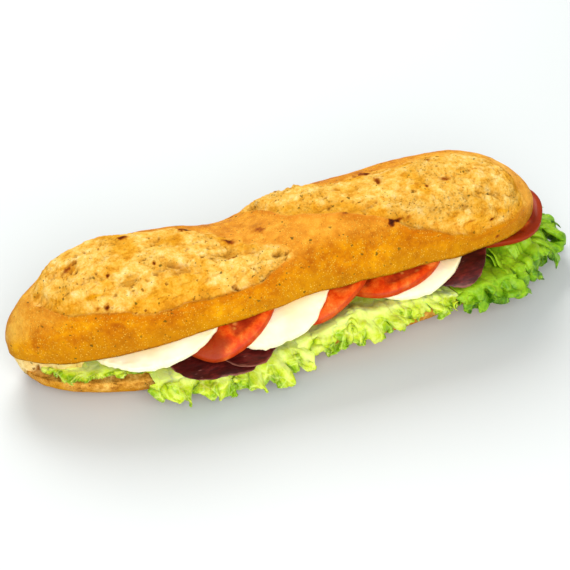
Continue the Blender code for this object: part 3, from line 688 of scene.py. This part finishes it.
def leaf_points(name, layer):
    """A leaf's grid of points. u runs along its margin, v from its spine (0) over its lip to its margin (1).
    Also how near each point is to a free edge, and how high on the waves, which the material paints as light
    on the crests and shade in the troughs."""
    shape = LEAVES[name]
    columns, rows = shape["grid"]
    u = np.linspace(0, 1, columns)[None] + np.zeros((rows, 1))
    v = (np.linspace(0, 1, rows) ** 0.8)[:, None] + 0 * u
    inner, outer = np.clip(v / LIP_AT, 0, 1), np.clip((v - LIP_AT) / (1 - LIP_AT), 0, 1)
    rear = ramp(inner, 0.30, 0)
    spine, lip, margin = (stations_curve(shape[key], u) for key in ("spine", "lip", "margin"))
    span = np.hypot(np.diff(margin[0][0]), np.diff(margin[1][0])).sum()
    seed = 200 + 10 * layer + len(name)
    away = np.stack([margin[k] - lip[k] for k in (0, 1)])
    away /= np.hypot(*away)
    middle = (margin[0].min() + margin[0].max()) / 2

    def widened(x):
        """x moved away from the leaf's middle, by one factor on each side."""
        return middle + (x - middle) * np.where(x < middle, *shape["widen"])

    # The sheet's outline from above: a lobed and notched margin, torn sides, and an uneven
    # edge along the spine. The lower sheet is shorter.
    edge = placed(u * span / 5, 9.1 * layer, 0)
    ragged = 1 + 0.13 * noise(edge, seed) + 0.07 * noise(edge * 3.1, seed + 1)
    ragged += 0.04 * noise(edge * 6, seed + 18) - 0.38 * ramp(noise(edge * 0.9 + 5, seed + 14), 0.25, 0.8)
    reach = outer * ragged * (1 - 0.24 * layer)
    plan = [spine[k] * (1 - inner) + lip[k] * inner + (margin[k] - lip[k]) * reach for k in (0, 1)]
    side = np.sign(u - 0.5)
    torn = noise(placed(7 * v, 3.3 * side, 0), seed + 15)
    torn = torn + 0.5 * noise(placed(19 * v, 3.3 * side, 0), seed + 16)
    plan[0] = widened(plan[0]) + side * ramp(np.abs(u - 0.5), 0.42, 0.5) * (1.0 + 2.6 * torn)
    plan[1] += (3.2 * noise(edge * 0.42, seed + 9) + 1.3 * noise(edge * 1.7, seed + 17)) * rear

    # Its height: crumpled folds fill the room under the slices, then it goes over the lip.
    flat_z = along(plan[0], CUT_HEIGHT) + LEAF_LEVEL
    room = np.clip(headroom(*plan) - flat_z - LEAF_CLEAR, 0, None)
    folds = rough(placed(u * span / 9, v * (5.5 - 2.5 * layer), 3.3 * layer), 2, seed + 11)
    folds = ramp(folds + 0.25 * np.sin(3.2 * np.pi * v), -0.75, 0.75)
    z = flat_z + room * folds * ramp(inner, -0.06, 0.12) * ramp(inner, 1, 0.84)
    z = z + (along(lip[0], CUT_HEIGHT) + lip[2] - z) * ramp(inner, 0.8, 1)
    z = z + (margin[2] - z) * np.clip(reach, 0, None) ** 1.4

    # Large waves swing it out, up and sideways, growing towards the margin.
    sway = placed(u * span / 16, 0.8 * v + 4.4 * layer, 0)
    turn = 2 * np.pi * (shape["waves"] * u + 0.11 * np.sin(9 * u) + 0.15 + 0.45 * layer
                        + 0.22 * noise(sway, seed + 4))
    size = shape["ruffle"] * ramp(outer, 0, 1) * (1 + 0.35 * noise(sway * 1.3, seed + 5))
    swing, slide = size * np.sin(turn), -0.55 * size * np.sin(2 * turn)
    point = placed(plan[0] + away[0] * swing - away[1] * slide,
                   plan[1] + away[1] * swing + away[0] * slide,
                   z + 0.75 * size * np.sin(turn + 1.2) - 2.0 * layer * outer)
    # How high each point rides on the waves, which the material paints as light on the crests and shade in
    # the troughs.
    crest_light = 0.6 * np.sin(turn) * ramp(outer, 0, 0.6)

    # Finer waves ride on those, along the sheet's own normals and to and fro beside them.
    free = np.maximum(np.maximum(outer, 0.75 * rear), shape["restless"] * ramp(inner, .5, .9))
    for wave, height, start in shape["frills"]:
        across = placed(u * span / (1.5 * wave), 2.2 * v + layer * 7.7, 0)
        phase = 2 * np.pi * (u * span / wave + 1.4 * noise(across, seed + 2))
        strength = 0.25 + 1.35 * ramp(noise(across * 0.9 + 3.7, seed + 3), -0.6, 0.6)
        loose = ramp(free, start, 1.0)
        crest_light = crest_light + 0.45 * np.sin(phase) * loose * np.clip(strength, 0, 1)
        grow = height * loose * strength
        tangent = np.gradient(point, axis=1)
        tangent /= np.maximum(np.linalg.norm(tangent, axis=-1, keepdims=True), 1e-9)
        point = (point + grid_normals(point) * (grow * np.sin(phase))[..., None]
                 - tangent * (0.4 * grow * np.sin(2 * phase))[..., None])
    curl = np.stack([noise(point / 8 + 5 * layer, seed + k) for k in (6, 7, 8)], -1)
    point = point + 0.6 * shape["ruffle"] * curl * (outer ** 2)[..., None]
    blister = 0.8 * noise(point / 8, seed + 13) * ramp(inner, 0.5, 0.9)
    blister = blister + 0.30 * rough(point / 4.5, 2, seed + 10)
    point = point + grid_normals(point) * blister[..., None]

    # Tips that stand out past the margin, or hang below it, are drawn in to TIP_REACH.
    beyond = (point[..., 0] - widened(margin[0])) * away[0] + (point[..., 1] - margin[1]) * away[1]
    shorter = np.where(beyond > 0, TIP_REACH * np.tanh(beyond / TIP_REACH) - beyond, 0)
    point[..., 0] += away[0] * shorter
    point[..., 1] += away[1] * shorter
    below = np.clip(margin[2] - point[..., 2], 0, None) * outer
    point[..., 2] += below - TIP_REACH * np.tanh(below / TIP_REACH)
    point[..., 2] = np.maximum(point[..., 2], LEAF_LIFT)
    return point, np.maximum(outer, 0.6 * rear), crest_light


def leaf(name):
    """One leaf: two thin sheets, the lower one shorter and out of step with the upper."""
    sheets = [leaf_points(name, layer) for layer in (0, 1)]
    skins = [thin_skin(point, LEAF_THICK * (1 - 0.55 * margin)) for point, margin, _ in sheets]
    upper_count = len(skins[0][0])
    faces = skins[0][1] + [f + upper_count for f in skins[1][1]]
    looks = {key: np.concatenate([np.tile(sheet[k].ravel(), 2) for sheet in sheets])
             for key, k in (("margin", 1), ("crest_light", 2))}
    make_piece(name + "_leaf", np.concatenate([verts for verts, _ in skins]), faces, looks,
               LETTUCE[LEAVES[name]["kind"]], name)


# Materials


def linear(code):
    """An sRGB hex colour as the linear colour that the shaders take."""
    part = [int(code[i:i + 2], 16) / 255 for i in (1, 3, 5)]
    return (*[c / 12.92 if c <= 0.04045 else ((c + 0.055) / 1.055) ** 2.4 for c in part], 1)


def sized(place, size, **more):
    """The inputs of a pattern at place whose features are size millimetres wide."""
    return {"Vector": place, "Scale": 1 / (size * MM), **more}


# Inputs that share a name are called by number: a Mix node's share and its two colours, a
# Math node's 0 and 1, and a Map Range's value (0), old range (1, 2) and new range (3, 4).
SHARE, UNDER, OVER = 0, 6, 7


def add(tree, kind, inputs=None, stops=None, out=0, **settings):
    """Adds one shader node with its settings, its inputs (values, or outputs of other
    nodes) and, on a colour ramp, its stops. Returns the numbered output."""
    node = tree.nodes.new("ShaderNode" + kind)
    for key, value in settings.items():
        setattr(node, key, value)
    for key, value in (inputs or {}).items():
        if isinstance(value, bpy.types.NodeSocket):
            tree.links.new(value, node.inputs[key])
        else:
            node.inputs[key].default_value = value
    for number, (position, code) in enumerate(stops or []):
        elements = node.color_ramp.elements
        element = elements[number] if number < 2 else elements.new(position)
        element.position = position
        element.color = linear(code)
    return node.outputs[out] if len(node.outputs) else node


def start_material(name, *looks):
    """An empty material, its node tree, its object coordinates and the looks that its
    pieces carry."""
    material = bpy.data.materials.new(name)
    material.use_nodes = True
    tree = material.node_tree
    tree.nodes.clear()
    look = {key: add(tree, "Attribute", attribute_name=key, out=2) for key in looks}
    return material, tree, add(tree, "TexCoord", out=3), look


def finish_material(material, surface, relief=None):
    """Gives a material one shader with those inputs, and a relief from its strength, its
    depth in metres and the pattern that it follows."""
    tree = material.node_tree
    if relief:
        surface["Normal"] = add(tree, "Bump", dict(zip(("Strength", "Distance", "Height"), relief)))
    add(tree, "OutputMaterial", {"Surface": add(tree, "BsdfPrincipled", surface)})
    return material


def warped(tree, place, size, share):
    """Object coordinates pushed about by noise of that size in millimetres."""
    wander = add(tree, "TexNoise", sized(place, size, Detail=2), out=1)
    return add(tree, "Mix", {SHARE: share, 4: place, 5: wander}, data_type="VECTOR", out=1)


def bread_material():
    """Baked maize bread: a thin satin crust, amber with darker and paler clouds, paler on its crown (partly
    painted light) and at its right end (painted light), golden-brown towards its front rim (partly painted
    shade), dusted with maize grains and flecked with herbs; torn crumb is matt, cream with golden patches,
    with painted shade in its holes, creases and pores; cut crumb is cream with painted shade in its pits,
    toasted brown towards the edge."""
    material, tree, place, look = start_material(
        "baked maize bread", "torn", "hollow_shade", "rim", "crumb", "scorch", "toast", "gold", "pale", "porous")
    clouds, mottle, fine = (
        add(tree, "TexNoise", sized(place, size, Detail=detail, Roughness=roughness))
        for size, detail, roughness in ((24, 4, .6), (4.5, 6, .7), (1.1, 4, .65)))
    crust_tone = add(tree, "Math", {0: clouds, 1: mottle}, operation="ADD")
    crust_tone = add(tree, "MapRange", {0: crust_tone, 1: .74, 2: 1.28})
    speckle = add(tree, "Math", {0: fine, 1: .3}, operation="MULTIPLY")
    crumb_tone = add(tree, "Math", {0: mottle, 1: speckle}, operation="ADD")
    crumb_tone = add(tree, "MapRange", {0: crumb_tone, 1: .46, 2: .82})
    shade = {key: add(tree, "ValToRGB", {0: tone}, stops=stops) for key, tone, stops in (
        ("crust", crust_tone, [(0, "#a45400"), (1, "#e8a208"), (.35, "#c07000"), (.65, "#d28600")]),
        ("pale", crust_tone, [(0, "#dc8e22"), (1, "#fdce64"), (.5, "#f4ae3e")]),
        ("torn", crumb_tone, [(0, "#d08a22"), (1, "#f8d98e"), (.35, "#e9ad40"), (.65, "#f3c460")]),
        ("golden", crumb_tone, [(0, "#c07606"), (1, "#f0b430"), (.5, "#de9810")]),
        ("brown", look["hollow_shade"], [(0, "#cf9028"), (1, "#74440e"), (.6, "#a46a1a")]),
        ("cut", crumb_tone, [(0, "#e6b862"), (1, "#fbe4a8"), (.5, "#f4d284")]),
        ("toasted", crumb_tone, [(0, "#8e5210"), (1, "#f0bc5c"), (.5, "#ce8e30")]))}
    # Pores of the spongy crumb, under a millimetre across, darkened by painted shade.
    pore = add(tree, "TexVoronoi", sized(place, 1.7))
    pore = add(tree, "Math", {0: add(tree, "MapRange", {0: pore, 1: .42, 2: .14}), 1: look["porous"]},
               operation="MULTIPLY")
    # The crust is darkened golden-brown towards its front rim, partly its own colour and partly painted
    # shade, and lightened on its crown, partly painted light, and at its right end, painted light.
    crust_gold_and_shade, spongy, pore_shade, browned = (
        add(tree, "Math", {0: part, 1: share}, operation="MULTIPLY")
        for part, share in ((look["gold"], .55), (look["porous"], .45), (pore, .75), (look["rim"], mottle)))
    # Painted shade: the torn crumb is coloured brown in its holes, creases and dents, and the cut faces
    # darker in their pits.
    hollow_shade = add(tree, "MapRange", {0: look["hollow_shade"], 1: .1, 2: .85})
    for key, share, over in (
            ("crust", crust_gold_and_shade, linear("#b47a04")), ("crust", look["pale"], shade["pale"]),
            ("torn", look["gold"], shade["golden"]), ("torn", hollow_shade, shade["brown"]),
            ("torn", spongy, linear("#d09a34")), ("torn", pore_shade, linear("#80601a")),
            ("cut", look["hollow_shade"], linear("#9a6420")), ("toasted", look["hollow_shade"], linear("#6e3f10"))):
        shade[key] = add(tree, "Mix", {SHARE: share, UNDER: shade[key], OVER: over}, data_type="RGBA", out=2)
    # Maize grains, a third of a millimetre across and over one apart, on the crust alone.
    grain = add(tree, "TexVoronoi", sized(place, 1.2))
    bare = add(tree, "Math", {0: look["torn"], 1: look["crumb"]}, operation="ADD")
    bare = add(tree, "Math", {0: 1.0, 1: bare}, operation="SUBTRACT", use_clamp=True)
    grain = add(tree, "Math", {0: add(tree, "MapRange", {0: grain, 1: .34, 2: .16}), 1: bare},
                operation="MULTIPLY")
    dusted = add(tree, "MapRange", {0: mottle, 1: .38, 2: .62, 3: .05, 4: .95})
    grain = add(tree, "Math", {0: grain, 1: dusted}, operation="MULTIPLY")
    layers = [(browned, linear("#c05c00")), (look["torn"], shade["torn"]), (look["crumb"], shade["cut"]),
              (look["toast"], shade["toasted"]), (grain, linear("#ffc84c"))]
    # Herb flecks up to a millimetre and a half long, then tiny dark grains of pepper: the
    # distance that cuts a fleck out of each cell is a random one, so that sizes differ.
    matt = add(tree, "Math", {0: look["torn"], 1: look["crumb"]}, operation="MAXIMUM")
    herb = add(tree, "ValToRGB", {0: add(tree, "TexNoise", sized(place, 4))},
               stops=[(.40, "#3d3a0c"), (.60, "#8a4a10"), (.5, "#5f5212")])
    larger = add(tree, "MapRange", {0: matt, 3: .05, 4: .06})
    for spacing, bend, least, most in ((3.7, .0024, -.07, .19), (2.0, .0008, -.12, .17)):
        distance = add(tree, "TexVoronoi", sized(warped(tree, place, 1.5, bend), spacing))
        size = add(tree, "SeparateColor", {0: distance.node.outputs["Color"]})
        size = add(tree, "MapRange", {0: size, 1: .3, 2: 1.0, 3: least, 4: most})
        size = add(tree, "Math", {0: size, 1: larger}, operation="ADD")
        fleck = add(tree, "Math", {0: size, 1: distance}, operation="SUBTRACT")
        layers.append((add(tree, "MapRange", {0: fleck, 1: -.02, 2: .07, 4: .8}), herb))
    burn = add(tree, "MapRange", {0: fine, 1: .3, 2: .7, 3: .75, 4: 1.1})
    burn = add(tree, "Math", {0: look["scorch"], 1: burn}, operation="MULTIPLY")
    layers.append((add(tree, "MapRange", {0: burn, 1: .02, 2: .45}), add(
        tree, "ValToRGB", {0: burn},
        stops=[(0, "#cf7c08"), (1, "#2a0e06"), (.4, "#9c4e0a"), (.7, "#5a2408")])))
    colour = shade["crust"]
    for share, over in layers:
        colour = add(tree, "Mix", {SHARE: share, UNDER: colour, OVER: over}, data_type="RGBA", out=2)
    height = add(tree, "Math", {0: fine, 1: add(tree, "MapRange", {0: matt, 3: 1.0, 4: 1.8})},
                 operation="MULTIPLY")
    height = add(tree, "Math", {0: height, 1: grain}, operation="ADD")
    height = add(tree, "Math", {0: height, 1: pore}, operation="SUBTRACT")
    shine = add(tree, "MapRange", {0: matt, 3: .6, 4: .9})
    return finish_material(material, {"Base Color": colour, "Roughness": shine, "Specular IOR Level": .05},
                           (.8, .0007, height))


def tomato_material():
    """Ripe tomato: wet, slightly see-through flesh, orange-red in the wall with faint fibres, darker red
    jelly in the seed chambers, and a thin smooth dark red skin, whose colour also covers the cap's wide
    belt, partly as painted shade, and the left slice's left side."""
    material, tree, place, look = start_material("ripe tomato", "chamber", "seed", "fibre", "skin")
    mottle = add(tree, "TexNoise", sized(place, 5, Detail=6, Roughness=.7))
    fibre, seed = (add(tree, "Math", {0: look[key], 1: share}, operation="MULTIPLY")
                   for key, share in (("fibre", .14), ("seed", .7)))
    tone = add(tree, "Math", {0: mottle, 1: fibre}, operation="ADD")
    colour = add(tree, "ValToRGB", {0: add(tree, "MapRange", {0: tone, 1: .38, 2: .80})},
                 stops=[(0, "#cc3206"), (1, "#f6903e"), (.35, "#de480a"), (.65, "#ea681e")])
    jelly = add(tree, "ValToRGB", {0: mottle}, stops=[(.35, "#8e1c08"), (.7, "#c84a1a")])
    for share, over in ((look["chamber"], jelly), (seed, linear("#e2a24c")),
                        (look["skin"], linear("#922c08"))):
        colour = add(tree, "Mix", {SHARE: share, UNDER: colour, OVER: over}, data_type="RGBA", out=2)
    pores = add(tree, "TexNoise", sized(place, 0.9, Detail=3))
    return finish_material(material, {
        "Base Color": colour, "Roughness": .38, "Specular IOR Level": .12, "Subsurface Weight": .2,
        "Subsurface Radius": (1.0, .25, .08), "Subsurface Scale": .0015}, (.4, .0004, pores))


def mozzarella_material():
    """Fresh mozzarella: moist, dense and creamy, light passing a little way in."""
    material, tree, place, look = start_material("fresh mozzarella", "radius")
    clouds = add(tree, "TexNoise", sized(place, 14, Detail=3))
    colour = add(tree, "ValToRGB", {0: clouds}, stops=[(.35, "#fdebbe"), (.65, "#fff6da")])
    rind = add(tree, "MapRange", {0: look["radius"], 1: .9, 2: 1.0, 3: 0, 4: .35})
    colour = add(tree, "Mix", {SHARE: rind, UNDER: colour, OVER: linear("#fae8b0")},
                 data_type="RGBA", out=2)
    curd = add(tree, "TexNoise", sized(place, 2.2, Detail=4))
    return finish_material(material, {
        "Base Color": colour, "Roughness": .4, "Specular IOR Level": .3, "Subsurface Weight": .3,
        "Subsurface Radius": (1.0, .8, .5), "Subsurface Scale": .002}, (.25, .0006, curd))


def cured_beef_material():
    """Air-dried beef: dark wine red, in fine fibres with pale specks of fat, a satin
    surface and a thin pale rim."""
    material, tree, place, look = start_material("air-dried beef", "fat")
    grain_place = add(tree, "Mapping", {"Vector": place, "Scale": (.25, 1, 1)})
    fibres = add(tree, "TexNoise", sized(grain_place, 1.1, Detail=5, Roughness=.65))
    clouds = add(tree, "TexNoise", sized(place, 9, Detail=3))
    tone = add(tree, "Math", {0: fibres, 1: clouds}, operation="ADD")
    colour = add(tree, "ValToRGB", {0: add(tree, "MapRange", {0: tone, 1: .72, 2: 1.3})},
                 stops=[(0, "#2a0504"), (1, "#6e1e18"), (.5, "#460c08")])
    marbling = add(tree, "TexVoronoi", sized(grain_place, 2.6))
    marbling = add(tree, "MapRange", {0: marbling, 1: .12, 2: .05, 4: .4})
    fat = add(tree, "Math", {0: look["fat"], 1: .45}, operation="MULTIPLY")
    for share, over in ((marbling, "#b87468"), (fat, "#a86a54")):
        colour = add(tree, "Mix", {SHARE: share, UNDER: colour, OVER: linear(over)}, data_type="RGBA", out=2)
    return finish_material(material, {"Base Color": colour, "Roughness": .42, "Specular IOR Level": .3},
                           (.5, .0004, fibres))


def lettuce_material(name, heart, leaf_green, deep):
    """Curly lettuce: thin, crisp and faintly waxy, pale towards its rib, greener in the frill, with a
    painted highlight on the crests of its waves and painted shade in their troughs, in small blisters
    between a fine net of paler veins, with wider ribs among them; light shines through."""
    material, tree, place, look = start_material(name, "margin", "crest_light")
    clouds = add(tree, "TexNoise", sized(place, 9, Detail=4, Roughness=.6))
    shift = look["margin"]
    # The second part is painted light and shade: paler on the crests of the waves and deeper green in their
    # troughs.
    for part, low, high, start, end in ((clouds, .3, .7, -.5, .5), (look["crest_light"], -1, 1, .34, -.30)):
        part = add(tree, "MapRange", {0: part, 1: low, 2: high, 3: start, 4: end})
        shift = add(tree, "Math", {0: shift, 1: part}, operation="ADD")
    colour = add(tree, "ValToRGB", {0: shift}, stops=[(0.0, heart), (1, deep), (.55, leaf_green)])
    wander = warped(tree, place, 3, .0016)
    net, ribs = (add(tree, "TexVoronoi", sized(wander, size), feature="DISTANCE_TO_EDGE")
                 for size in (3.2, 8))
    for lines, width, share in ((net, .14, .25), (ribs, .07, .6)):
        vein = add(tree, "MapRange", {0: lines, 1: .0, 2: width, 3: share, 4: 0})
        colour = add(tree, "Mix", {SHARE: vein, UNDER: colour, OVER: linear(heart)}, data_type="RGBA", out=2)
    return finish_material(material, {
        "Base Color": colour, "Roughness": .42, "Specular IOR Level": .22, "Subsurface Weight": .5,
        "Subsurface Radius": (.7, 1.0, .08), "Subsurface Scale": .0015}, (.5, .0008, net))


BREAD = bread_material()
TOMATO = tomato_material()
MOZZARELLA = mozzarella_material()
CURED_BEEF = cured_beef_material()
LETTUCE = {"pale": lettuce_material("pale curly lettuce", "#def67c", "#c2da20", "#82ac0a"),
           "green": lettuce_material("green curly lettuce", "#9ac41e", "#689c0a", "#305c02")}
SLICE_MAKERS = {"mozzarella": mozzarella_slice, "tomato": tomato_slice, "cured_beef": beef_slice}

top_loaf()
bottom_loaf()
for number, slice_name in enumerate(SLICES):
    SLICE_MAKERS[slice_name.rsplit("_", 1)[0]](slice_name, 300 + 20 * number)
for leaf_name in LEAVES:
    leaf(leaf_name)


# Floor, light and camera


def stage_and_light():
    """A white floor, even white light from all round, and two large soft lamps."""
    mesh = bpy.data.meshes.new("floor")
    mesh.from_pydata([(-3, -3, 0), (3, -3, 0), (3, 3, 0), (-3, 3, 0)], [], [(0, 1, 2, 3)])
    floor = bpy.data.objects.new("floor", mesh)
    bpy.context.scene.collection.objects.link(floor)
    paper = {"Base Color": linear("#d3d7d6"), "Roughness": .9, "Specular IOR Level": .2}
    mesh.materials.append(finish_material(start_material("white studio paper")[0], paper))
    world = bpy.data.worlds.new("studio")
    bpy.context.scene.world = world
    world.use_nodes = True
    sky = world.node_tree.nodes["Background"].inputs
    sky["Color"].default_value = (1.0, 1.0, 1.0, 1)
    sky["Strength"].default_value = 0.44
    for name, place, size, power in (("key", (.02, .66, .72), .5, 8.6),
                                     ("fill", (-.14, -.74, .48), .7, 8.4)):
        lamp = bpy.data.lights.new(name, "AREA")
        lamp.size = size
        lamp.energy = power
        thing = bpy.data.objects.new(name, lamp)
        thing.location = place
        thing.rotation_mode = "QUATERNION"
        thing.rotation_quaternion = (-Vector(place)).to_track_quat("-Z", "Y")
        bpy.context.scene.collection.objects.link(thing)


def set_camera():
    """The photograph's view: from the front left, looking down by 41 degrees. The lens is
    worked out from the focal length in pixels of a frame 570 pixels wide."""
    azimuth, elevation = math.radians(-20.5), math.radians(41.0)
    back = Vector((math.sin(azimuth) * math.cos(elevation), -math.cos(azimuth) * math.cos(elevation),
                   math.sin(elevation)))
    sensor, focal_pixels, frame_pixels = 36, 1535, 570
    aim, distance = Vector((.0005, -.006, .024)), .75
    data = bpy.data.cameras.new("camera")
    data.sensor_width = sensor
    data.lens = sensor * focal_pixels / frame_pixels
    camera = bpy.data.objects.new("camera", data)
    camera.location = aim + back * distance
    camera.rotation_mode = "QUATERNION"
    camera.rotation_quaternion = (-back).to_track_quat("-Z", "Y")
    bpy.context.scene.collection.objects.link(camera)
    bpy.context.scene.camera = camera
    bpy.context.scene.view_settings.view_transform = "Standard"


stage_and_light()
set_camera()
